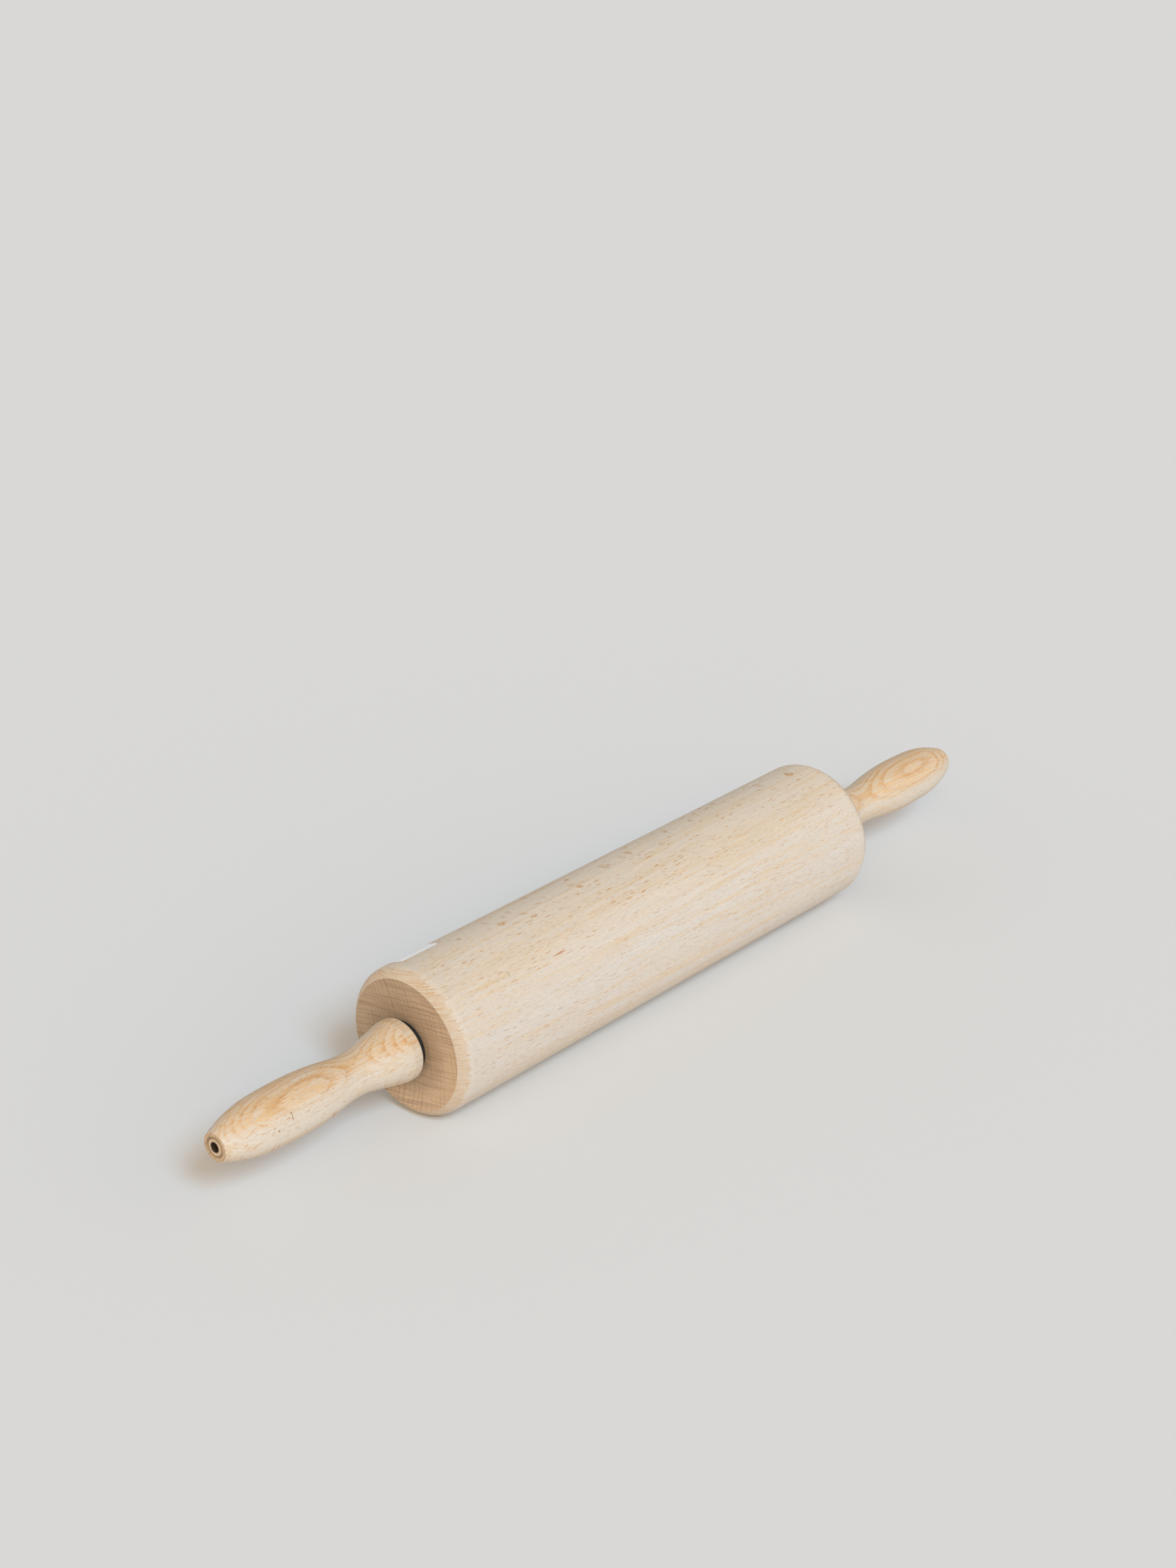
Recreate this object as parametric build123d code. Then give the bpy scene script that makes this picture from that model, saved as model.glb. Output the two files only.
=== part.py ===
from build123d import *
import os

# Revolving-handle rolling pin in beech. The pin lies along X with the roller's
# lowest line on z = 0, and the middle of its length over the origin.
# All sizes are in millimetres.

# Roller
roller_length = 250.0
roller_diameter = 60.0
rim_bevel_length = 2.6
rim_bevel_depth = 3.4
rim_blend_radius = 6.0
axle_way_diameter = 12.4

# Steel axle
axle_diameter = 10.0
journal_diameter = 8.0
axle_grip_length = 46.0
axle_end_bevel = 0.8
glue_groove_count = 3
glue_groove_width = 1.6
glue_groove_depth = 0.4
glue_groove_pitch = 8.0

# Turned handles
handle_length = 91.0
handle_gap = 3.0
collar_diameter = 24.8
collar_length = 4.2
collar_edge_radius = 0.6
neck_diameter = 17.1
grip_diameter = 22.4
tip_diameter = 11.3
tip_edge_radius = 0.5
centre_hole_diameter = 3.7
tip_ring_diameter = 7.2
tip_ring_width = 0.8
tip_ring_depth = 0.4
bore_mouth_bevel = 0.6
bore_spare_length = 2.0

# Places along the handle, as shares of its length. The rise and fall shares say how
# far the radius has gone there from the neck to the collar, or from the grip to the tip.
foot_place_share = 0.218
foot_rise_share = 0.135
neck_place_share = 0.278
waist_turn_share = 0.287
crest_place_share = 0.626
shoulder_place_share = 0.764
shoulder_fall_share = 0.053

# Ball bearings
bearing_diameter = 16.0
bearing_width = 5.0
ball_diameter = 2.381
ball_count = 9
race_land_gap = 1.6
race_edge_bevel = 0.25
shield_recess_depth = 0.6
shield_recess_height = 0.5
shield_sheet = 0.25
shield_setback = 0.2
cage_thickness = 1.1
cage_back = 0.45
cage_claw_reach = 0.65
cage_slot_width = 0.55
cage_slot_depth = 1.3

# Moulded bearing housings
flange_diameter = 20.2
flange_thickness = 2.5
flange_edge_radius = 0.4
housing_body_diameter = 18.4
housing_front_setback = 0.7
housing_window_diameter = 13.2
window_edge_bevel = 0.4
rib_count = 12
rib_width = 0.9
rib_height = 0.2
snap_bead_length = 1.0
snap_bead_height = 0.25
pocket_spare_depth = 0.3

# Spacer sleeve between inner race and handle
spacer_diameter = 10.0
spacer_edge_bevel = 0.2

# Clearances
seat_clearance = 0.02
ball_clearance = 0.05
pocket_clearance = 0.07
shield_clearance = 0.15
bead_clearance = 0.05

# Worked out from the sizes above
roller_radius = roller_diameter / 2
roller_half = roller_length / 2
journal_radius = journal_diameter / 2
bearing_radius = bearing_diameter / 2
ball_radius = ball_diameter / 2
pitch_radius = (journal_radius + bearing_radius) / 2
inner_land_radius = pitch_radius - race_land_gap / 2
outer_land_radius = pitch_radius + race_land_gap / 2
groove_radius = ball_radius + ball_clearance
recess_radius = outer_land_radius + shield_recess_height
bearing_front = roller_half - housing_front_setback
bearing_middle = bearing_front - bearing_width / 2
bearing_back = bearing_front - bearing_width
housing_back = bearing_back - bead_clearance - snap_bead_length
housing_rib_radius = housing_body_diameter / 2 + rib_height
pocket_radius = housing_rib_radius + seat_clearance
pocket_depth = roller_half - housing_back + pocket_spare_depth
collar_face = roller_half + handle_gap
axle_end = collar_face + axle_grip_length


def turned(outline):
    """A solid turned about X from a closed outline of (along, radius) points."""
    return revolve(Plane.XZ * make_face(outline), Axis.X)


def ring(start, end, inner_radius, outer_radius):
    """A plain turned ring between two places along X."""
    corners = [(start, inner_radius), (end, inner_radius), (end, outer_radius), (start, outer_radius)]
    return turned(Polyline(*corners, close=True))


def bevelled_ring(start, end, inner_radius, outer_radius, inner_bevel, outer_bevel):
    """A turned ring with bevelled edges at its bore and its outside."""
    outline = Polyline(
        (start, inner_radius + inner_bevel),
        (start + inner_bevel, inner_radius),
        (end - inner_bevel, inner_radius),
        (end, inner_radius + inner_bevel),
        (end, outer_radius - outer_bevel),
        (end - outer_bevel, outer_radius),
        (start + outer_bevel, outer_radius),
        (start, outer_radius - outer_bevel),
        close=True,
    )
    return turned(outline)


def roller_barrel():
    """The beech roller: softened rims, a bearing pocket in each end and the axle way."""
    rim_start = roller_half - rim_bevel_length
    rim_face_radius = roller_radius - rim_bevel_depth
    outline = make_face(
        Polyline(
            (-roller_half, 0),
            (-roller_half, rim_face_radius),
            (-rim_start, roller_radius),
            (rim_start, roller_radius),
            (roller_half, rim_face_radius),
            (roller_half, 0),
            close=True,
        )
    )
    rim_corners = outline.vertices().sort_by(Axis.Y)[-2:]
    outline = fillet(rim_corners, rim_blend_radius)
    barrel = revolve(Plane.XZ * outline, Axis.X)
    barrel -= ring(-roller_half, roller_half, 0, axle_way_diameter / 2)
    for end in (-roller_half, roller_half):
        inward = -pocket_depth if end > 0 else pocket_depth
        barrel -= ring(min(end, end + inward), max(end, end + inward), 0, pocket_radius)
    return barrel


def axle_rod():
    """The steel axle: thick between the bearings, with journals that run into the handles."""
    shoulder = bearing_back
    outline = Polyline(
        (-axle_end, 0),
        (-axle_end, journal_radius - axle_end_bevel),
        (-axle_end + axle_end_bevel, journal_radius),
        (-shoulder, journal_radius),
        (-shoulder, axle_diameter / 2),
        (shoulder, axle_diameter / 2),
        (shoulder, journal_radius),
        (axle_end - axle_end_bevel, journal_radius),
        (axle_end, journal_radius - axle_end_bevel),
        (axle_end, 0),
        close=True,
    )
    rod = turned(outline)
    groove_bottom = journal_radius - glue_groove_depth
    for step in range(1, glue_groove_count + 1):
        place = axle_end - step * glue_groove_pitch
        groove = ring(place - glue_groove_width, place, groove_bottom, axle_diameter)
        rod -= groove
        rod -= groove.rotate(Axis.Z, 180)
    return rod


def outer_corners(section):
    """The corners of a half section that lie off the axis, in order along it."""
    return section.vertices().filter_by(lambda corner: corner.Y > 0).sort_by(Axis.X)


def handle_outline():
    """Half the handle's section, from its collar to its tip, without its bore."""
    collar_radius = collar_diameter / 2
    neck_radius = neck_diameter / 2
    grip_radius = grip_diameter / 2
    tip_radius = tip_diameter / 2
    tip_face = collar_face + handle_length

    def point(place_share, radius_share, radius_before, radius_after):
        radius = radius_before + radius_share * (radius_after - radius_before)
        return collar_face + place_share * handle_length, radius

    waist_place_share = neck_place_share + waist_turn_share * (crest_place_share - neck_place_share)
    collar_end = (collar_face + collar_length, collar_radius)
    foot = point(foot_place_share, foot_rise_share, neck_radius, collar_radius)
    neck = point(neck_place_share, 0, neck_radius, grip_radius)
    waist = point(waist_place_share, waist_turn_share, neck_radius, grip_radius)
    crest = point(crest_place_share, 0, grip_radius, tip_radius)
    shoulder = point(shoulder_place_share, shoulder_fall_share, grip_radius, tip_radius)
    tip = (tip_face, tip_radius)

    neck_arc = TangentArc(neck, foot, tangent=(-1, 0))
    flare_arc = TangentArc(foot, collar_end, tangent=neck_arc % 1)
    waist_arc = TangentArc(neck, waist, tangent=(1, 0))
    swell_arc = TangentArc(crest, waist, tangent=(-1, 0))
    belly_arc = TangentArc(crest, shoulder, tangent=(1, 0))
    nose_arc = TangentArc(shoulder, tip, tangent=belly_arc % 1)
    ends = Polyline(tip, (tip_face, 0), (collar_face, 0), (collar_face, collar_radius), collar_end)
    section = make_face([flare_arc, neck_arc, waist_arc, swell_arc, belly_arc, nose_arc, ends])
    section = fillet(outer_corners(section)[0], collar_edge_radius)
    return fillet(outer_corners(section)[-1], tip_edge_radius)


def handle():
    """A turned beech handle: collar, neck, grip and flat tip with its lathe marks."""
    grip = revolve(Plane.XZ * handle_outline(), Axis.X)
    tip_face = collar_face + handle_length
    bore_radius = journal_radius + seat_clearance
    bore_end = axle_end + bore_spare_length
    centre_hole_radius = centre_hole_diameter / 2
    drill_point = bore_radius - centre_hole_radius
    bore = Polyline(
        (collar_face, 0),
        (collar_face, bore_radius + bore_mouth_bevel),
        (collar_face + bore_mouth_bevel, bore_radius),
        (bore_end, bore_radius),
        (bore_end + drill_point, centre_hole_radius),
        (tip_face, centre_hole_radius),
        (tip_face, 0),
        close=True,
    )
    ring_radius = tip_ring_diameter / 2
    lathe_ring = Polyline(
        (tip_face, ring_radius - tip_ring_width / 2),
        (tip_face - tip_ring_depth, ring_radius),
        (tip_face, ring_radius + tip_ring_width / 2),
        close=True,
    )
    return grip - turned(bore) - turned(lathe_ring)


def inner_race():
    """The bearing's inner ring, seated on the journal against the axle's shoulder."""
    bore = journal_radius + seat_clearance
    race = bevelled_ring(
        bearing_back, bearing_front, bore, inner_land_radius, race_edge_bevel, race_edge_bevel
    )
    return race - ball_track()


def outer_race():
    """The bearing's outer ring, with a step at each side for its shield."""
    front_step = bearing_front - shield_recess_depth
    back_step = bearing_back + shield_recess_depth
    outline = Polyline(
        (front_step, outer_land_radius),
        (front_step, recess_radius),
        (bearing_front, recess_radius),
        (bearing_front, bearing_radius - race_edge_bevel),
        (bearing_front - race_edge_bevel, bearing_radius),
        (bearing_back + race_edge_bevel, bearing_radius),
        (bearing_back, bearing_radius - race_edge_bevel),
        (bearing_back, recess_radius),
        (back_step, recess_radius),
        (back_step, outer_land_radius),
        close=True,
    )
    return turned(outline) - ball_track()


def ball_track():
    """The round track that both rings are ground to."""
    return Pos(bearing_middle, 0, 0) * Rot(0, 90, 0) * Torus(pitch_radius, groove_radius)


def around_pitch(shape, count, radius):
    """Copies of a shape, spaced evenly about X at a radius."""
    return [Rot(step * 360 / count, 0, 0) * Pos(0, 0, radius) * shape for step in range(count)]


def bearing_balls():
    """The steel balls, evenly spaced by their cage."""
    ball = Pos(bearing_middle, 0, 0) * Sphere(ball_radius)
    return Compound(children=around_pitch(ball, ball_count, pitch_radius))


def ball_cage():
    """The crown cage: a moulded ring whose claws snap round the balls."""
    back = bearing_middle - ball_radius - pocket_clearance - cage_back
    front = bearing_middle + cage_claw_reach
    inner_radius = pitch_radius - cage_thickness / 2
    outer_radius = pitch_radius + cage_thickness / 2
    cage = ring(back, front, inner_radius, outer_radius)
    pocket = Pos(bearing_middle, 0, 0) * Sphere(ball_radius + pocket_clearance)
    for cutter in around_pitch(pocket, ball_count, pitch_radius):
        cage -= cutter
    slot_height = 2 * cage_thickness
    slot = Box(cage_slot_depth, cage_slot_width, slot_height, align=(Align.MAX, Align.CENTER, Align.CENTER))
    half_step = 180 / ball_count
    for cutter in around_pitch(Pos(front, 0, 0) * slot, ball_count, pitch_radius):
        cage -= cutter.rotate(Axis.X, half_step)
    return cage


def shield():
    """A pressed steel shield for the bearing's front, curled where it grips the outer ring."""
    face = bearing_front - shield_setback
    inner_radius = inner_land_radius + shield_clearance
    outer_radius = recess_radius - seat_clearance
    curl_radius = outer_radius - shield_sheet
    curl_end = bearing_front - shield_recess_depth
    outline = Polyline(
        (face, inner_radius),
        (face, outer_radius),
        (curl_end, outer_radius),
        (curl_end, curl_radius),
        (face - shield_sheet, curl_radius),
        (face - shield_sheet, inner_radius),
        close=True,
    )
    return turned(outline)


def bearing_housing():
    """The black moulded housing: flange on the roller's end, ribs in its pocket, snap bead behind."""
    flange_face = roller_half + flange_thickness
    flange_radius = flange_diameter / 2
    body_radius = housing_body_diameter / 2
    seat_radius = bearing_radius + seat_clearance
    window_radius = housing_window_diameter / 2
    bead_front = bearing_back - bead_clearance
    bead_radius = seat_radius - snap_bead_height
    outline = make_face(
        Polyline(
            (flange_face, window_radius + window_edge_bevel),
            (flange_face, flange_radius),
            (roller_half, flange_radius),
            (roller_half, body_radius),
            (housing_back, body_radius),
            (housing_back, seat_radius),
            (bead_front - snap_bead_length / 2, bead_radius),
            (bead_front, seat_radius),
            (bearing_front, seat_radius),
            (bearing_front, window_radius),
            (flange_face - window_edge_bevel, window_radius),
            close=True,
        )
    )
    flange_corner = outline.vertices().sort_by(Axis.Y)[-2:].sort_by(Axis.X)[-1]
    outline = fillet(flange_corner, flange_edge_radius)
    housing = revolve(Plane.XZ * outline, Axis.X)
    rib_length = roller_half - housing_back - rib_height
    rib_root = (body_radius + seat_radius) / 2
    rib_depth = housing_rib_radius - rib_root
    rib = Box(rib_length, rib_width, rib_depth, align=(Align.MAX, Align.CENTER, Align.MIN))
    ribs = around_pitch(Pos(roller_half, 0, 0) * rib, rib_count, rib_root)
    bound = ring(housing_back, roller_half, seat_radius, housing_rib_radius)
    for bar in ribs:
        housing += bar & bound
    return housing


def axle_spacer():
    """The steel sleeve that keeps the handle's collar clear of the housing."""
    bore = journal_radius + seat_clearance
    return bevelled_ring(
        bearing_front, collar_face, bore, spacer_diameter / 2, spacer_edge_bevel, spacer_edge_bevel
    )


def mirrored_in_bearing(shape):
    """The same piece turned to face the other side of its bearing."""
    return Pos(2 * bearing_middle, 0, 0) * Rot(0, 180, 0) * shape


def end_pieces():
    """Every piece of the right-hand end, by name."""
    front_shield = shield()
    return {
        "handle": handle(),
        "bearing_housing": bearing_housing(),
        "outer_race": outer_race(),
        "inner_race": inner_race(),
        "bearing_balls": bearing_balls(),
        "ball_cage": ball_cage(),
        "outboard_shield": front_shield,
        "inboard_shield": mirrored_in_bearing(front_shield),
        "axle_spacer": axle_spacer(),
    }


def write_node(name, shape):
    """Lift a piece from the turning axis to its place above the table and save it."""
    export_step(Pos(0, 0, roller_radius) * shape, f"parts/{name}.step")


os.makedirs("parts", exist_ok=True)
write_node("roller_barrel", roller_barrel())
write_node("axle_rod", axle_rod())
for piece_name, piece in end_pieces().items():
    write_node(f"right_{piece_name}", piece)
    write_node(f"left_{piece_name}", Rot(0, 0, 180) * piece)
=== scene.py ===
import math

import bmesh
import bpy
from mathutils import Euler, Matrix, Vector


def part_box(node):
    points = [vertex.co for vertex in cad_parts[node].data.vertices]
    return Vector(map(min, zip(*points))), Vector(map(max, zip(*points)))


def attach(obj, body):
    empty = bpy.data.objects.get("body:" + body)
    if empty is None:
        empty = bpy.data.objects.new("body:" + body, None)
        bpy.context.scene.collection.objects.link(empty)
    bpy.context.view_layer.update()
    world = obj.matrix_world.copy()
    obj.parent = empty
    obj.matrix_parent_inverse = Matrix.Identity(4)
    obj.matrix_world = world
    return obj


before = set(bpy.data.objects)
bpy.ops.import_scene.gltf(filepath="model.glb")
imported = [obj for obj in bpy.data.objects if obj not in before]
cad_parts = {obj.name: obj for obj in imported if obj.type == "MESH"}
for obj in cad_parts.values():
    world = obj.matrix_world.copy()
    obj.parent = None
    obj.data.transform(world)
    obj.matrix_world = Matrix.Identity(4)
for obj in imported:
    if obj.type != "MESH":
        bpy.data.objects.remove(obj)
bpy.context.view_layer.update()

# Revolving-handle rolling pin in beech, dressed for its studio picture.
# Lengths are in metres unless a name ends in _mm, and angles in degrees.

scene = bpy.context.scene

# Places taken from the frame
roller_low, roller_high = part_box("roller_barrel")
roller_radius = (roller_high.z - roller_low.z) / 2
axle_height = roller_low.z + roller_radius

# Camera, set to the photograph's viewpoint
photo_width, photo_height = 1659, 2212
focal_pixels = 3841.3
film_long_side_mm = 36.0
camera_place = Vector((-0.7370, -0.6333, 0.5434))
camera_heading = 41.572
camera_pitch = -24.833
nearest_view = 0.01
farthest_view = 50.0
quarter_turn = 90


def make_camera():
    """The camera at the photograph's viewpoint."""
    data = bpy.data.cameras.new("studio_camera")
    data.sensor_width = film_long_side_mm
    data.lens = focal_pixels * film_long_side_mm / max(photo_width, photo_height)
    data.clip_start = nearest_view
    data.clip_end = farthest_view
    camera = bpy.data.objects.new("studio_camera", data)
    camera.location = camera_place
    turn = (quarter_turn + camera_pitch, 0, camera_heading - quarter_turn)
    camera.rotation_euler = Euler(tuple(math.radians(angle) for angle in turn))
    scene.collection.objects.link(camera)
    scene.camera = camera


# The screen's curve from a level to its light
full_level = 255
toe_end = 0.04045
toe_slope = 12.92
curve_offset = 0.055
curve_scale = 1.055
curve_power = 2.4


def linear(level):
    """The light of a screen level from 0 to 255."""
    level = level / full_level
    if level <= toe_end:
        return level / toe_slope
    return ((level + curve_offset) / curve_scale) ** curve_power


def tone(red, green, blue):
    """A colour given as it reads on screen, from 0 to 255, for a shader socket."""
    return (linear(red), linear(green), linear(blue), 1.0)


millimetre = 0.001
mm_per_metre = 1000
axle_height_mm = axle_height * mm_per_metre
across_axle = (0, 1, 1)


class Nodes:
    """A node tree under construction, with short calls for the nodes that it is made of."""

    def __init__(self, tree):
        self.nodes = tree.nodes
        self.links = tree.links

    def add(self, kind, inputs, **settings):
        """A new node with its settings, and its inputs by name or number."""
        node = self.nodes.new(kind)
        for setting, value in settings.items():
            setattr(node, setting, value)
        for socket, value in inputs.items():
            self.feed(node.inputs[socket], value)
        return node

    def feed(self, socket, value):
        """A link where the value is another node's output, and the socket's own value otherwise."""
        if isinstance(value, bpy.types.NodeSocket):
            self.links.new(value, socket)
        else:
            socket.default_value = value

    def math(self, operation, first, second=0.0, third=0.0):
        """One step of arithmetic."""
        return self.add("ShaderNodeMath", {0: first, 1: second, 2: third}, operation=operation).outputs[0]

    def times(self, first, second):
        """The product of two levels."""
        return self.math("MULTIPLY", first, second)

    def line(self, value, slope, start):
        """A level that starts at a value and changes with another one."""
        return self.math("MULTIPLY_ADD", value, slope, start)

    def vector(self, operation, first, second, third=(0, 0, 0)):
        """One step of vector arithmetic that gives a vector."""
        inputs = {0: first, 1: second, 2: third}
        return self.add("ShaderNodeVectorMath", inputs, operation=operation).outputs[0]

    def dot(self, first, second):
        """How far a vector reaches along another one."""
        node = self.add("ShaderNodeVectorMath", {0: first, 1: second}, operation="DOT_PRODUCT")
        return node.outputs["Value"]

    def length(self, vector):
        """The length of a vector."""
        return self.add("ShaderNodeVectorMath", {0: vector}, operation="LENGTH").outputs["Value"]

    def split(self, vector):
        """The three parts of a vector."""
        return self.add("ShaderNodeSeparateXYZ", {0: vector}).outputs

    def join(self, x, y, z):
        """A vector from its three parts."""
        return self.add("ShaderNodeCombineXYZ", {0: x, 1: y, 2: z}).outputs[0]

    def noise(self, place, detail=2.0, roughness=0.5, scale=1.0):
        """Cloudy noise at a place."""
        inputs = {"Vector": place, "Scale": scale, "Detail": detail, "Roughness": roughness}
        return self.add("ShaderNodeTexNoise", inputs).outputs

    def cells(self, place):
        """The nearest of a cloud of scattered seeds: its place and its own random colour."""
        return self.add("ShaderNodeTexVoronoi", {"Vector": place, "Scale": 1.0}).outputs

    def fade(self, value, start, end, low=0.0, high=1.0):
        """A smooth change from low to high as the value goes from start to end."""
        inputs = {"Value": value, "From Min": start, "From Max": end, "To Min": low, "To Max": high}
        node = self.add("ShaderNodeMapRange", inputs, interpolation_type="SMOOTHSTEP")
        return node.outputs[0]

    def blend(self, share, first, second, way="MIX"):
        """One colour over another."""
        node = self.add("ShaderNodeMix", {}, data_type="RGBA", blend_type=way)
        self.feed(node.inputs["Factor"], share)
        self.feed(node.inputs[6], first)
        self.feed(node.inputs[7], second)
        return node.outputs[2]

    def ramp(self, value, *stops):
        """A value that follows (place, level) stops."""
        node = self.add("ShaderNodeValToRGB", {0: value})
        elements = node.color_ramp.elements
        while len(elements) < len(stops):
            elements.new(1.0)
        for element, (place, level) in zip(elements, stops):
            element.position = place
            element.color = (level, level, level, 1)
        return node.outputs[0]


class Finish(Nodes):
    """A material under construction, with its places, its relief and its shader."""

    def __init__(self, name):
        self.material = bpy.data.materials.new(name)
        self.material.use_nodes = True
        super().__init__(self.material.node_tree)
        self.surface = self.nodes["Principled BSDF"]

    def set(self, **values):
        """The shader's own sockets, with underscores for the spaces in their names."""
        for name, value in values.items():
            self.feed(self.surface.inputs[name.replace("_", " ")], value)

    def object_place(self):
        """The place on the object, in its own frame."""
        return self.add("ShaderNodeTexCoord", {}).outputs["Object"]

    def place_mm(self):
        """The place on the object in millimetres."""
        return self.vector("MULTIPLY", self.object_place(), (mm_per_metre,) * 3)

    def mapped(self, middle, turn, sizes, place=None):
        """A place measured from a middle, along turned directions and in the given sizes."""
        inputs = {
            "Vector": place or self.object_place(),
            "Location": middle,
            "Rotation": turn,
            "Scale": sizes,
        }
        return self.add("ShaderNodeMapping", inputs, vector_type="TEXTURE").outputs[0]

    def bump(self, height, depth):
        """A relief of the given depth in metres."""
        return self.add("ShaderNodeBump", {"Height": height, "Distance": depth, "Strength": 1.0}).outputs[0]


# Kinds of noise in the wood: how closely each repeats along the fibres, along the rings and
# outwards from the pith, in cycles per millimetre, then its detail and its roughness
grain_drift = ((0.012, 0.045, 0.045), 2.0, 0.5)
ragged_drift = ((0.22, 0.5, 0.3), 2.0, 0.5)
ring_drift = ((0.12, 0.9, 0.9), 3.0, 0.5)
skin_drift = ((0.02, 0.08, 0.08), 4.0, 0.5)
patch_noise = ((0.02, 0.1, 0.1), 2.0, 0.5)
ray_gap_noise = ((0.5, 2.2, 2.2), 3.0, 0.6)
fibre_noise = ((0.09, 2.6, 2.6), 3.0, 0.6)
strand_noise = ((0.045, 1.3, 1.3), 4.0, 0.65)
pore_noise = ((0.55, 5.5, 5.5), 2.0, 0.7)
streak_noise = ((0.008, 0.3, 0.3), 5.0, 0.65)
rim_noise = ((0.25, 0.8, 0.8), 3.0, 0.5)
saw_line_noise = ((0.3, 2.2, 0.04), 3.0, 0.5)
mark_noise_scale = 0.9

# How far the drifts carry the pattern, in millimetres
drift_along_rings = 2.0
ray_raggedness = (0, 0.6, 0.9)
skin_unevenness = (0, 3.6, 3.6)
mark_raggedness = (0.5, 0.5, 0.5)
noise_middle = (0.5, 0.5, 0.5)

# The board lies a little askew to the axle
board_askew = (0.5, 0.7)

# Growth rings: their uneven spacing, and how dark each is from its inner to its outer edge
ring_spacing_noise = 0.21
ring_spacing_shift = 2.0
late_wood_stops = ((0.0, 0.3), (0.1, 0.0), (0.5, 0.12), (0.84, 0.8), (0.93, 1.0), (1.0, 0.3))
ring_edge_stops = ((0.0, 0.7), (0.07, 0.0), (0.8, 0.0), (0.95, 1.0), (1.0, 0.7))

# Rays: the cell that holds one, its half size in millimetres, its soft share and its seed
broad_rays = {"cell": (3.0, 0.95, 13.0), "half_size": (1.5, 0.165, 6.0), "softness": 0.35, "seed": 0.0}
fine_rays = {"cell": (2.2, 0.6, 9.0), "half_size": (0.95, 0.12, 5.0), "softness": 0.6, "seed": 31.7}
ray_size_spread = (0.7, 0.45)
ray_strength_spread = (0.65, 0.35)
fine_ray_strength = 0.6

# Fades: where each one starts and ends, and then what it goes from and to
ring_patch_fade = (0.3, 0.62, 0.45, 1.0)
ray_patch_fade = (0.32, 0.6, 0.65, 1.0)
ray_gap_fade = (0.36, 0.52, 0.15, 1.0)
strand_fade = (0.38, 0.62)
streak_fade = (0.46, 0.6)
saw_line_fade = (0.5, 0.62)
end_grain_fade = (0.86, 0.98)
rim_step_fade = (0.3, 0.7, -0.14, 0.14)
slope_fade = (0.2, 0.6)
end_ring_fade = (0.35, 0.6, 0.08, 0.4)
# Painted shade: the end grain darkens towards the axle, as the collar shades the roller's end face
collar_shade_fade_mm = (23.0, 15.0, 0.0, 0.3)
fibre_shade_fade = (0.25, 0.75, 0.955, 1.04)
fibre_gloss_fade = (0.2, 0.8, 0.6, 0.74)
mark_edge_fade = (1.0, 0.3)

# Shares of one thing in another
streak_in_strands = (0.7, 0.3)
ring_in_strands = (0.7, 0.45)
ring_on_slope = 0.3
saw_line_on_slope = 0.4
ray_change_on_end = -0.6
pore_fade = (0.34, 0.6)
pore_shade = 0.92
pore_change_on_end = -0.15
pore_rim_shade = 1.02
fibre_relief = 0.4
pore_relief = 0.6
ray_relief = -0.2
wood_relief = 0.00005
wood_gloss = 0.3
# Painted shade on the brightly lit front side: the core of its sector, in degrees
painted_shade_core = 20.0
mark_depth_mm = 2.5

# Turned tip face of a handle, by the distance from the axle in millimetres
tip_face_radius_mm = 5.4
tip_face_edge_mm = 0.1
tip_core_fade_mm = (3.4, 4.4)
groove_inner_fade_mm = (2.9, 3.3)
groove_outer_fade_mm = (4.5, 3.9)
# Painted shade in the groove of the tip face
groove_shade_share = 0.6
tip_line_share = 0.35
# Painted shade in the drilled bore and on its lip, from where it starts to where it is full
bore_shade_fade_mm = (2.55, 1.85)


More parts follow.
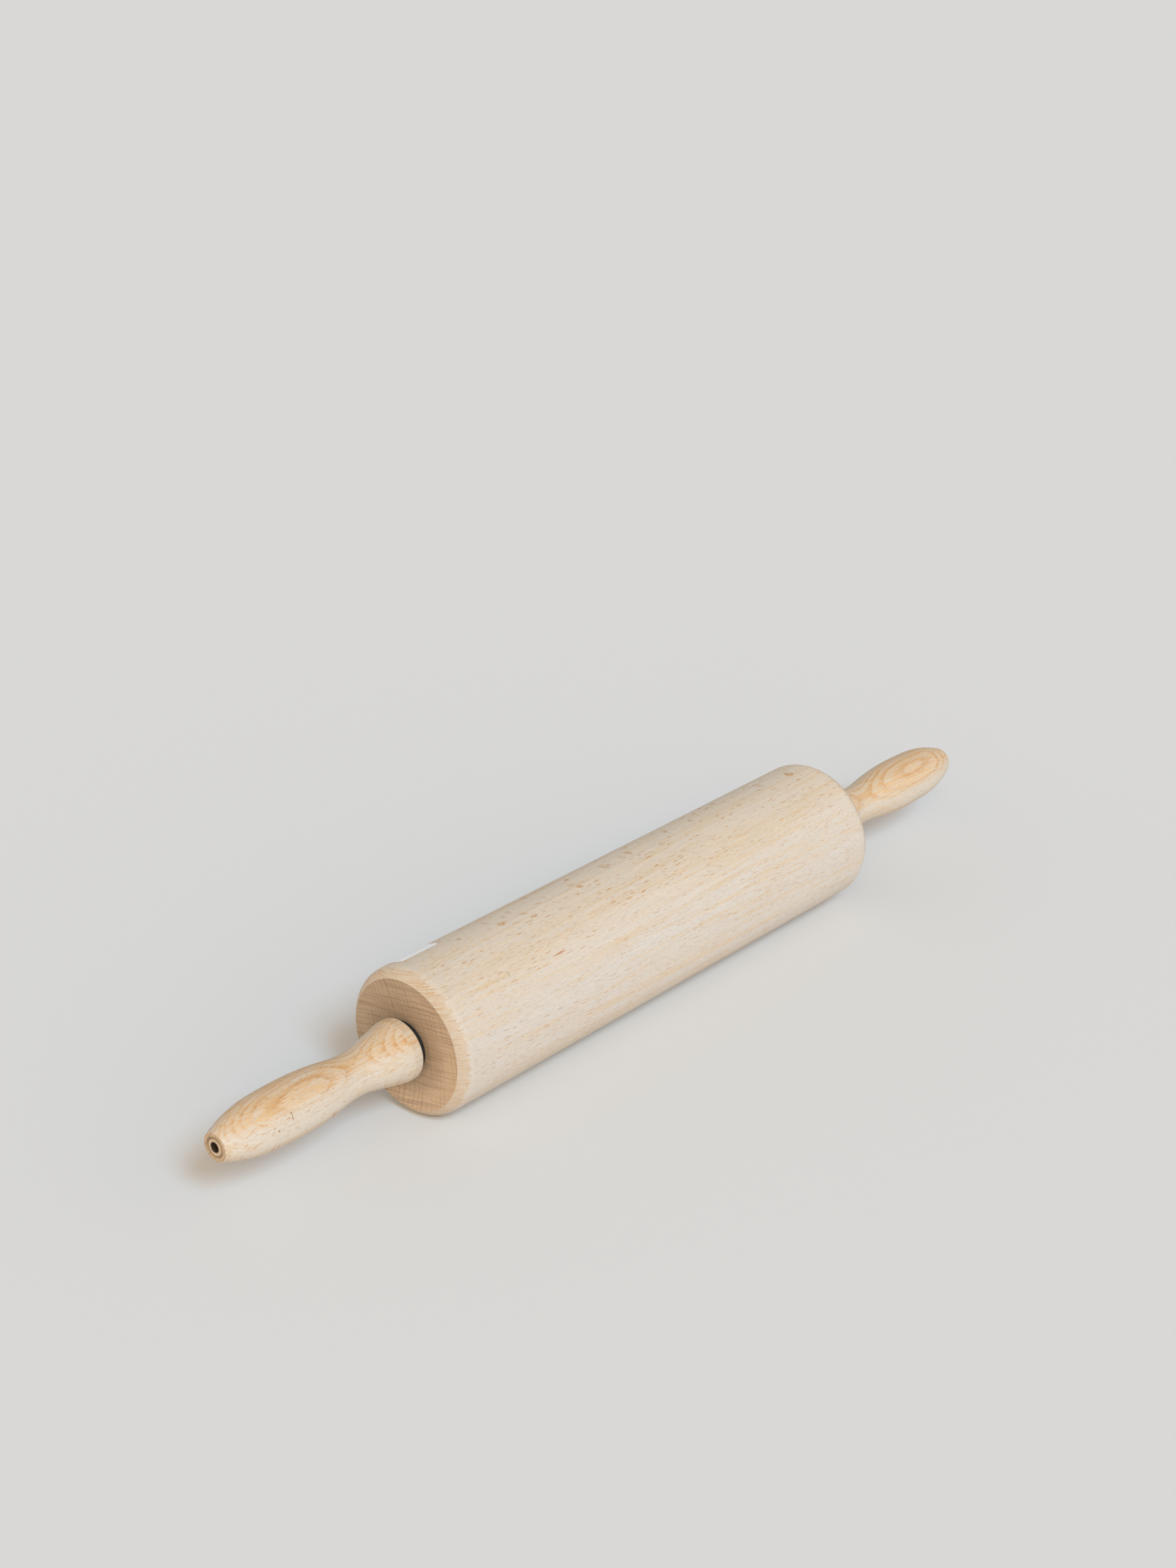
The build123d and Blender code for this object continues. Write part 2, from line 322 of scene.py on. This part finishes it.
class Beech(Finish):
    """Beech as solid wood: growth rings round a distant pith, rays that run out from it, and fibres.

    Lengths inside the pattern are in millimetres: x along the fibres, y along the rings and
    z outwards from the pith, which lies pith_turn degrees round the axle from +Y.
    """

    def __init__(self, name, cut, colours):
        super().__init__(name)
        self.cut = cut
        self.colours = colours
        self.lay_board()
        self.lay_skin()
        self.grow_rings()
        self.grow_rays()
        self.grow_fibres()
        colour = self.blend(self.end_grain, self.side_grain(), self.sawn_end())
        share, ray_colour = self.ray_marks()
        colour = self.blend(share, colour, ray_colour)
        colour = self.blend(self.times(self.near_axle(), cut["tip_share"]), colour, self.tip_face())
        shade = self.shade()
        colour = self.blend(1.0, colour, self.join(shade, shade, shade), way="MULTIPLY")
        for mark in cut["marks"]:
            colour = self.marked(colour, mark)
        relief = self.times(self.fibre, fibre_relief)
        relief = self.line(self.pore, pore_relief, relief)
        relief = self.line(self.ray, ray_relief, relief)
        self.set(
            Base_Color=colour,
            Roughness=self.fade(self.fibre, *fibre_gloss_fade),
            Specular_IOR_Level=wood_gloss,
            Normal=self.bump(relief, wood_relief),
        )

    def cloud(self, place, kind):
        """Noise of one of the kinds above."""
        stretch, detail, roughness = kind
        return self.noise(self.vector("MULTIPLY", place, stretch), detail=detail, roughness=roughness)

    def level(self, place, kind):
        """Noise of one of the kinds above, as a level."""
        return self.cloud(place, kind)["Fac"]

    def drift(self, place, kind, reach):
        """A place carried off by noise, as far as the reach."""
        offset = self.vector("SUBTRACT", self.cloud(place, kind)["Color"], noise_middle)
        return self.vector("ADD", place, self.vector("MULTIPLY", offset, reach))

    def lay_board(self):
        """Places in the board, as the grain wanders in it."""
        cut = self.cut
        turn = tuple(math.radians(angle) for angle in (cut["pith_turn"] - quarter_turn, *board_askew))
        self.still = self.mapped((cut["board_start"], 0, axle_height), turn, (millimetre,) * 3)
        self.place = self.drift(self.still, grain_drift, (0, drift_along_rings, cut["ring_wander"]))
        self.ragged = self.drift(self.place, ragged_drift, ray_raggedness)
        self.patches = self.level(self.place, patch_noise)
        self.saw_lines = self.fade(self.level(self.ragged, saw_line_noise), *saw_line_fade)

    def lay_skin(self):
        """Places round the axle, and how far the surface there is cut across the fibres."""
        skin = self.mapped((0, 0, axle_height), (0, 0, 0), (millimetre,) * 3)
        self.from_axle = self.length(self.vector("MULTIPLY", skin, across_axle))
        self.uneven_skin = self.drift(skin, skin_drift, skin_unevenness)
        uneven_radius = self.length(self.vector("MULTIPLY", self.uneven_skin, across_axle))
        self.sector_radius = self.math("SQRT", self.times(uneven_radius, self.cut["sector_radius"]))
        facing = self.add("ShaderNodeTexCoord", {}).outputs["Normal"]
        cut_across = self.math("ABSOLUTE", self.split(facing)[0])
        rim_steps = self.fade(self.level(self.ragged, rim_noise), *rim_step_fade)
        self.end_grain = self.fade(cut_across, *end_grain_fade)
        self.slope = self.fade(self.math("ADD", cut_across, rim_steps), *slope_fade)
        self.warm_side = self.sector(self.cut["warm_turn"], self.cut["warm_edge"], self.cut["warm_core"])

    def towards(self, turn):
        """How far a place on the skin lies towards a turn round the axle, in millimetres."""
        turn = math.radians(turn)
        return self.dot(self.uneven_skin, (0, math.cos(turn), math.sin(turn)))

    def sector(self, turn, edge, core):
        """How well a place lies within a sector round a turn, from its edge to its core."""
        nearness = self.math("DIVIDE", self.towards(turn), self.sector_radius)
        return self.fade(nearness, math.cos(math.radians(edge)), math.cos(math.radians(core)))

    def grow_rings(self):
        """The growth rings' late wood, and their outer edges."""
        cut = self.cut
        _, across, outward = self.split(self.drift(self.place, ring_drift, (0, 0, cut["ring_raggedness"])))
        from_pith = self.length(self.join(0.0, across, self.math("ADD", outward, cut["pith_distance"])))
        spacing = self.noise(self.join(0.0, 0.0, self.times(from_pith, ring_spacing_noise)), detail=1.0)
        ring = self.math("DIVIDE", from_pith, cut["ring_width"])
        ring = self.math("FRACT", self.line(spacing["Fac"], ring_spacing_shift, ring))
        patchiness = self.fade(self.patches, *ring_patch_fade)
        self.late_wood = self.times(self.ramp(ring, *late_wood_stops), patchiness)
        self.ring_edge = self.ramp(ring, *ring_edge_stops)

    def ray_sheets(self, cell, half_size, softness, seed):
        """Thin upright sheets with ragged edges, one in each cell."""
        long_cell = (cell[0] * self.cut["ray_length"], *cell[1:])
        scaled = self.vector("DIVIDE", self.vector("ADD", self.ragged, (seed, seed, seed)), long_cell)
        seeds = self.cells(scaled)
        offset = self.vector("SUBTRACT", scaled, seeds["Position"])
        offset = self.vector("MULTIPLY", offset, tuple(whole / half for whole, half in zip(cell, half_size)))
        chance = self.split(seeds["Color"])
        distance = self.math("DIVIDE", self.length(offset), self.line(chance[0], *ray_size_spread))
        sheet = self.fade(distance, 1.0, 1.0 - softness)
        return self.times(sheet, self.line(chance[1], *ray_strength_spread))

    def grow_rays(self):
        """Broad and fine rays, broken and patchy."""
        fine = self.times(self.ray_sheets(**fine_rays), fine_ray_strength)
        ray = self.math("MAXIMUM", self.ray_sheets(**broad_rays), fine)
        ray = self.times(ray, self.fade(self.patches, *ray_patch_fade))
        gaps = self.fade(self.level(self.still, ray_gap_noise), *ray_gap_fade)
        self.ray = self.times(ray, gaps)

    def grow_fibres(self):
        """Fibres, strands of them, pores, and broad streaks."""
        self.fibre = self.level(self.place, fibre_noise)
        self.strand = self.fade(self.level(self.place, strand_noise), *strand_fade)
        self.pore = self.level(self.still, pore_noise)
        self.streak = self.fade(self.level(self.place, streak_noise), *streak_fade)

    def side_grain(self):
        """The surface along the fibres: a warm and a pale side, streaks and rings."""
        cut, colours = self.cut, self.colours
        warmth = self.line(self.strand, cut["strand_share"], 1.0 - cut["strand_share"])
        side = self.blend(self.times(self.warm_side, warmth), colours["pale"], colours["warm"])
        streak = self.times(self.streak, self.line(self.strand, *streak_in_strands))
        side = self.blend(self.times(streak, cut["streak_share"]), side, colours["streak"])
        ring_share = self.line(self.warm_side, cut["ring_share"], cut["pale_ring_share"])
        ring_share = self.line(self.slope, ring_on_slope, ring_share)
        ring_share = self.times(ring_share, self.line(self.strand, *ring_in_strands))
        side = self.blend(self.times(self.late_wood, ring_share), side, colours["ring"])
        return self.blend(self.times(self.slope, cut["slope_share"]), side, colours["slope"])

    def sawn_end(self):
        """The surface across the fibres: lighter on one side, with ring lines, and painted shade round the
        collar.
        """
        cut, colours = self.cut, self.colours
        lightness = self.fade(self.towards(cut["end_turn"]), -cut["end_reach"], cut["end_reach"])
        end = self.blend(lightness, colours["end_dark"], colours["end"])
        ring_line = self.times(self.ring_edge, self.fade(self.patches, *end_ring_fade))
        end = self.blend(ring_line, end, colours["end_line_and_shade"])
        # Painted shade round the collar on the end face
        return self.blend(self.fade(self.from_axle, *collar_shade_fade_mm), end, colours["end_line_and_shade"])

    def ray_marks(self):
        """The share of rays and saw lines in the surface, and their colour."""
        cut, colours = self.cut, self.colours
        line_share = self.times(self.slope, saw_line_on_slope)
        ray_share = self.line(self.end_grain, ray_change_on_end, cut["ray_share"])
        share = self.math("MAXIMUM", self.times(self.ray, ray_share), self.times(self.saw_lines, line_share))
        colour = self.blend(self.warm_side, colours["pale_ray"], colours["ray"])
        return share, self.blend(self.end_grain, colour, colours["end_line_and_shade"])

    def near_axle(self):
        """Whether a place lies within the tip face."""
        inner, outer = tip_face_radius_mm - tip_face_edge_mm, tip_face_radius_mm + tip_face_edge_mm
        return self.fade(self.from_axle, outer, inner)

    def tip_face(self):
        """The turned tip face: brown rings, with painted shade in its groove and in its drilled bore."""
        colours = self.colours
        face = self.blend(self.fade(self.from_axle, *tip_core_fade_mm), colours["end"], colours["end_dark"])
        face = self.blend(self.times(self.saw_lines, tip_line_share), face, colours["end_line_and_shade"])
        inner = self.fade(self.from_axle, *groove_inner_fade_mm)
        outer = self.fade(self.from_axle, *groove_outer_fade_mm)
        # Painted shade in the groove
        groove = self.times(self.times(inner, outer), groove_shade_share)
        face = self.blend(groove, face, colours["end_line_and_shade"])
        # Painted shade in the drilled bore
        return self.blend(self.fade(self.from_axle, *bore_shade_fade_mm), face, colours["bore_shade"])

    def shade(self):
        """The light and dark of fibres and pores, and painted shade on the brightly lit front side."""
        cut = self.cut
        fibre_shade = self.fade(self.fibre, *fibre_shade_fade)
        darkest = self.line(self.end_grain, pore_change_on_end, pore_shade)
        shade = self.times(fibre_shade, self.fade(self.pore, *pore_fade, darkest, pore_rim_shade))
        # Painted shade: the front side, where the lamps light the wood most, is made darker to even out the
        # light
        painted_shade_side = self.sector(cut["painted_shade_turn"], cut["painted_shade_edge"], painted_shade_core)
        return self.times(shade, self.line(painted_shade_side, -cut["painted_shade_depth"], 1.0))

    def marked(self, colour, mark):
        """The colour with a small natural mark over it, an ellipse with soft and ragged edges."""
        place = self.place_mm()
        offset = self.vector("SUBTRACT", self.noise(place, scale=mark_noise_scale)["Color"], noise_middle)
        place = self.vector("ADD", place, self.vector("MULTIPLY", offset, mark_raggedness))
        turn = math.radians(mark["turn"])
        reach = mark["radius"]
        middle = (mark["x"], reach * math.cos(turn), axle_height_mm + reach * math.sin(turn))
        half_sizes = (mark["half_length"], mark_depth_mm, mark["half_width"])
        local = self.mapped(middle, (turn, 0, 0), half_sizes, place)
        share = self.fade(self.length(local), *mark_edge_fade, 0.0, mark["share"])
        return self.blend(share, colour, mark["colour"])


def natural_mark(x, turn, radius, half_length, half_width, share, colour):
    """A mark placed along the axle, by turn and by radius, with its half sizes, in millimetres."""
    return {
        "x": x,
        "turn": turn,
        "radius": radius,
        "half_length": half_length,
        "half_width": half_width,
        "share": share,
        "colour": colour,
    }


# How each piece of wood lies in its board, and how strong each part of its pattern is. Turns are in
# degrees round the axle from +Y, shares go from 0 to 1, board_start is in metres and other lengths are
# in millimetres. A sector has its full width, from edge to core, where the radius is sector_radius.
roller_cut = {
    "board_start": 0.0,
    "pith_turn": 170.0,
    "pith_distance": 70.0,
    "ring_width": 2.3,
    "ring_wander": 3.6,
    "ring_raggedness": 1.2,
    "ring_share": 0.1,
    "pale_ring_share": 0.25,
    "ray_share": 0.95,
    "ray_length": 1.4,
    "streak_share": 0.7,
    "strand_share": 0.5,
    "slope_share": 0.6,
    "sector_radius": 30.0,
    "warm_turn": 92.0,
    "warm_edge": 62.0,
    "warm_core": 25.0,
    # Painted shade: a darker sector on the front side, where the light is brightest, and how much darker
    "painted_shade_turn": 145.0,
    "painted_shade_edge": 55.0,
    "painted_shade_depth": 0.09,
    "end_turn": 215.0,
    "end_reach": 22.0,
    "tip_share": 0.0,
    "marks": (
        natural_mark(-62.9, 134.6, 30.0, 4.9, 0.55, 0.8, tone(172, 112, 72)),
        natural_mark(-89.6, 130.3, 30.0, 0.7, 2.1, 0.4, tone(146, 128, 82)),
        natural_mark(-74.8, 104.4, 30.0, 0.4, 0.3, 0.6, tone(120, 100, 70)),
    ),
}
handle_cut = {
    "board_start": -0.9,
    "pith_turn": 122.0,
    "pith_distance": 40.0,
    "ring_width": 1.15,
    "ring_wander": 2.6,
    "ring_raggedness": 0.4,
    "ring_share": 0.8,
    "pale_ring_share": 0.15,
    "ray_share": 0.95,
    "ray_length": 0.95,
    "streak_share": 0.5,
    "strand_share": 0.7,
    "slope_share": 0.1,
    "sector_radius": 11.2,
    "warm_turn": 104.0,
    "warm_edge": 62.0,
    "warm_core": 26.0,
    # Painted shade: a darker sector on the front side, where the light is brightest, and how much darker
    "painted_shade_turn": 145.0,
    "painted_shade_edge": 55.0,
    "painted_shade_depth": 0.04,
    "end_turn": 215.0,
    "end_reach": 8.0,
    "tip_share": 1.0,
    "marks": (
        natural_mark(-191.45, 160.0, 11.1, 0.3, 2.3, 0.75, tone(132, 88, 50)),
        natural_mark(-191.6, 150.8, 11.1, 0.55, 0.35, 0.85, tone(110, 76, 46)),
        natural_mark(-198.3, 173.0, 10.9, 0.6, 0.8, 0.7, tone(140, 96, 56)),
        natural_mark(-200.0, 163.5, 10.7, 0.5, 0.4, 0.6, tone(150, 104, 64)),
    ),
}
far_handle_cut = handle_cut | {
    "board_start": 0.7,
    "pith_turn": 132.0,
    "warm_turn": 114.0,
    "warm_core": 34.0,
    "ray_share": 0.6,
    "marks": (),
}

# The tones of each part of the pattern, before the light and dark of the fibres
roller_colours = {
    "pale": tone(203, 196, 187),
    "warm": tone(213, 197, 176),
    "streak": tone(207, 183, 151),
    "ring": tone(203, 178, 146),
    "slope": tone(194, 173, 146),
    "ray": tone(186, 138, 88),
    "pale_ray": tone(180, 136, 90),
    "end": tone(204, 173, 141),
    "end_dark": tone(178, 153, 125),
    # end_line_and_shade colours real ring and ray lines, and the painted shade round the collar and in the
    # tip's groove
    "end_line_and_shade": tone(118, 95, 70),
    # bore_shade: painted shade for the drilled bore in a handle's tip
    "bore_shade": tone(62, 46, 32),
}
handle_colours = {
    "pale": tone(202, 193, 179),
    "warm": tone(209, 176, 134),
    "streak": tone(202, 169, 128),
    "ring": tone(194, 144, 88),
    "slope": tone(202, 187, 168),
    "ray": tone(172, 120, 68),
    "pale_ray": tone(182, 132, 82),
    "end": tone(214, 188, 156),
    "end_dark": tone(196, 168, 135),
    # end_line_and_shade colours real ring and ray lines, and the painted shade round the collar and in the
    # tip's groove
    "end_line_and_shade": tone(112, 86, 60),
    # bore_shade: painted shade for the drilled bore in a handle's tip
    "bore_shade": tone(62, 46, 32),
}


# Finishes with a fine cloudy grain: how closely it repeats per millimetre, its two tones and where the
# one gives way to the other, how rough the surface is along with it, and its relief in metres
black_moulding = {
    "closeness": 5.0,
    "tones": (tone(22, 21, 21), tone(40, 38, 37)),
    "tone_fade": (0.35, 0.7),
    "rough_fade": (0.2, 0.8, 0.42, 0.6),
    "relief": 0.00003,
}
cage_nylon = {
    "closeness": 1.6,
    "tones": (tone(232, 224, 204), tone(222, 212, 190)),
    "tone_fade": (0.3, 0.7),
    "rough_fade": (0.3, 0.7, 0.4, 0.52),
    "relief": 0.00001,
    "Subsurface_Weight": 0.15,
    "Subsurface_Scale": 0.001,
}
label_paper = {
    "closeness": 2.5,
    "tones": (tone(236, 238, 238), tone(229, 231, 231)),
    "tone_fade": (0.3, 0.7),
    "rough_fade": (0.3, 0.7, 0.3, 0.42),
    "relief": 0.000008,
}
grain_detail = 3.0


def grained(name, closeness, tones, tone_fade, rough_fade, relief, **more):
    """A finish with a fine cloudy grain in its tone, gloss and relief."""
    finish = Finish(name)
    grain = finish.noise(finish.place_mm(), detail=grain_detail, scale=closeness)["Fac"]
    finish.set(
        Base_Color=finish.blend(finish.fade(grain, *tone_fade), *tones),
        Roughness=finish.fade(grain, *rough_fade),
        Normal=finish.bump(grain, relief),
        **more,
    )
    return finish.material


# Steels, each with the pitch of the grooves that its tool left
steels = {
    "drawn_steel": {"colour": tone(190, 190, 188), "rough": 0.36, "groove_pitch_mm": 0.12},
    "ground_steel": {"colour": tone(200, 200, 200), "rough": 0.22, "groove_pitch_mm": 0.06},
    "polished_steel": {"colour": tone(214, 214, 216), "rough": 0.12, "groove_pitch_mm": 0.5},
    "pressed_steel": {"colour": tone(184, 184, 182), "rough": 0.3, "groove_pitch_mm": 0.3},
}
dull_steel = tone(176, 176, 174)
steel_cloud_closeness = 0.3
steel_fade = (0.3, 0.7)
steel_rough_spread = 0.07
steel_relief = 0.000006


def turned_steel(name, colour, rough, groove_pitch_mm):
    """Steel turned or ground round the axle, with fine rings left by the tool."""
    steel = Finish(name)
    place = steel.place_mm()
    x, y, z = steel.split(place)
    from_axle = steel.length(steel.join(0.0, y, steel.math("SUBTRACT", z, axle_height_mm)))
    along = steel.math("DIVIDE", x, groove_pitch_mm)
    outward = steel.math("DIVIDE", from_axle, groove_pitch_mm)
    marks = steel.noise(steel.join(along, outward, 0.0))["Fac"]
    cloud = steel.noise(place, scale=steel_cloud_closeness)["Fac"]
    steel.set(
        Base_Color=steel.blend(steel.fade(cloud, *steel_fade), colour, dull_steel),
        Metallic=1.0,
        Roughness=steel.fade(marks, *steel_fade, rough - steel_rough_spread, rough + steel_rough_spread),
        Normal=steel.bump(marks, steel_relief),
    )
    return steel.material


# Paper label behind the roller's upper edge, near its left end
label_start = -0.1165
label_length = 0.0192
label_from_turn = 71.5
label_to_turn = 24.0
label_gap = 0.00002
label_thickness = 0.00008
label_corner = 0.0015
label_corner_steps = 3
label_corner_roundness = 0.5
label_steps_round = 24
label_cuts_along = 12
edges_at_a_corner = 2


def make_label():
    """The paper label, wrapped round the roller behind its upper edge."""
    mesh = bmesh.new()
    reach = roller_radius + label_gap
    turn = math.radians(label_from_turn)
    middle = Vector((0, 0, axle_height))
    start = Vector((label_start, reach * math.cos(turn), axle_height + reach * math.sin(turn)))
    first = mesh.verts.new(start)
    last = mesh.verts.new(start + Vector((label_length, 0, 0)))
    edge = mesh.edges.new((first, last))
    bmesh.ops.subdivide_edges(mesh, edges=[edge], cuts=label_cuts_along)
    bmesh.ops.spin(
        mesh,
        geom=mesh.verts[:] + mesh.edges[:],
        cent=middle,
        axis=(1, 0, 0),
        dvec=(0, 0, 0),
        angle=math.radians(label_to_turn - label_from_turn),
        steps=label_steps_round,
        use_merge=False,
    )
    bmesh.ops.bevel(
        mesh,
        geom=[v for v in mesh.verts if len(v.link_edges) == edges_at_a_corner],
        offset=label_corner,
        segments=label_corner_steps,
        profile=label_corner_roundness,
        affect="VERTICES",
        material=-1,
    )
    bmesh.ops.recalc_face_normals(mesh, faces=mesh.faces[:])
    outward = mesh.faces[0].normal.dot(mesh.faces[0].calc_center_median() - middle)
    if outward < 0:
        bmesh.ops.reverse_faces(mesh, faces=mesh.faces[:])
    bmesh.ops.solidify(mesh, geom=mesh.faces[:], thickness=-label_thickness)
    bmesh.ops.recalc_face_normals(mesh, faces=mesh.faces[:])
    data = bpy.data.meshes.new("paper_label")
    mesh.to_mesh(data)
    mesh.free()
    data.materials.append(grained("label_paper", **label_paper))
    label = bpy.data.objects.new("paper_label", data)
    scene.collection.objects.link(label)
    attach(label, "roller")


def dress(node, material):
    """A new finish on a piece of the frame."""
    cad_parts[node].data.materials.clear()
    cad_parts[node].data.materials.append(material)


# Pieces that come in pairs, and their finishes
paired_pieces = {
    "axle_spacer": "drawn_steel",
    "bearing_housing": "black_moulded_plastic",
    "outer_race": "ground_steel",
    "inner_race": "ground_steel",
    "bearing_balls": "polished_steel",
    "ball_cage": "cage_nylon",
    "outboard_shield": "pressed_steel",
    "inboard_shield": "pressed_steel",
}


def dress_pieces():
    """The finish of every piece."""
    dress("roller_barrel", Beech("roller_beech", roller_cut, roller_colours).material)
    dress("left_handle", Beech("left_handle_beech", handle_cut, handle_colours).material)
    dress("right_handle", Beech("right_handle_beech", far_handle_cut, handle_colours).material)
    finishes = {name: turned_steel(name, **steel) for name, steel in steels.items()}
    finishes["black_moulded_plastic"] = grained("black_moulded_plastic", **black_moulding)
    finishes["cage_nylon"] = grained("cage_nylon", **cage_nylon)
    dress("axle_rod", finishes["drawn_steel"])
    for side in ("left", "right"):
        for piece, finish in paired_pieces.items():
            dress(f"{side}_{piece}", finishes[finish])


# Floor and light: turns from +X, heights above the floor, and spreads across, all in degrees
floor_half_size = 8.0
floor_tone = tone(217, 216, 214)
lamps = (
    {
        "name": "key_light",
        "turn": -112.0,
        "height": 42.0,
        "spread": 18.0,
        "strength": 1.972,
        "colour": (0.476, 0.738, 1.000),
    },
    {
        "name": "side_light",
        "turn": -136.0,
        "height": 34.0,
        "spread": 26.0,
        "strength": 0.787,
        "colour": (1.000, 0.786, 0.429),
    },
)
room_colour = (1.000, 0.879, 0.788)
room_strength = 1.523
room_dimming_overhead = 0.85
room_front_turn = -120.0
room_front_gains = (0.48, 0.34, 0.18)


def make_floor():
    """A plain pale floor."""
    mesh = bmesh.new()
    bmesh.ops.create_grid(mesh, x_segments=1, y_segments=1, size=floor_half_size)
    data = bpy.data.meshes.new("floor")
    mesh.to_mesh(data)
    mesh.free()
    paper = Finish("floor_paper")
    paper.set(Base_Color=floor_tone, Roughness=1.0, Specular_IOR_Level=0.0)
    data.materials.append(paper.material)
    floor = bpy.data.objects.new("floor", data)
    scene.collection.objects.link(floor)


def make_lamp(name, turn, height, spread, strength, colour):
    """A distant soft lamp that shines on the object from the given turn and height."""
    data = bpy.data.lights.new(name, "SUN")
    data.energy = strength
    data.color = colour
    data.angle = math.radians(spread)
    lamp = bpy.data.objects.new(name, data)
    turn, height = math.radians(turn), math.radians(height)
    towards = Vector((math.cos(height) * math.cos(turn), math.cos(height) * math.sin(turn), math.sin(height)))
    lamp.rotation_mode = "QUATERNION"
    lamp.rotation_quaternion = towards.to_track_quat("Z", "Y")
    scene.collection.objects.link(lamp)


def make_room():
    """A warm room, dimmer overhead and brighter in front, behind a plain backdrop."""
    world = bpy.data.worlds.new("studio")
    scene.world = world
    world.use_nodes = True
    room = Nodes(world.node_tree)
    direction = room.add("ShaderNodeTexCoord", {}).outputs["Generated"]
    turn = math.radians(room_front_turn)
    front = (math.cos(turn), math.sin(turn), 0)
    dimming = (-room_dimming_overhead,) * 3
    even = (1.0, 1.0, 1.0)
    by_height = room.vector("MULTIPLY_ADD", room.dot(direction, (0, 0, 1)), dimming, even)
    by_front = room.vector("MULTIPLY_ADD", room.dot(direction, front), room_front_gains, even)
    colour = room.vector("MULTIPLY", room.vector("MULTIPLY", by_height, by_front), room_colour)
    light = room.nodes["Background"]
    room.feed(light.inputs["Color"], colour)
    room.feed(light.inputs["Strength"], room_strength)

    backdrop = room.add("ShaderNodeBackground", {"Color": floor_tone})
    path = room.add("ShaderNodeLightPath", {}).outputs
    seen = room.math("MAXIMUM", path["Is Camera Ray"], path["Is Glossy Ray"])
    seen = room.math("MAXIMUM", seen, path["Is Transmission Ray"])
    mix = room.add("ShaderNodeMixShader", {"Fac": seen, 1: light.outputs[0], 2: backdrop.outputs[0]})
    room.feed(room.nodes["World Output"].inputs["Surface"], mix.outputs[0])


scene.view_settings.view_transform = "Standard"
make_camera()
for lamp_settings in lamps:
    make_lamp(**lamp_settings)
make_room()
make_floor()
dress_pieces()
make_label()
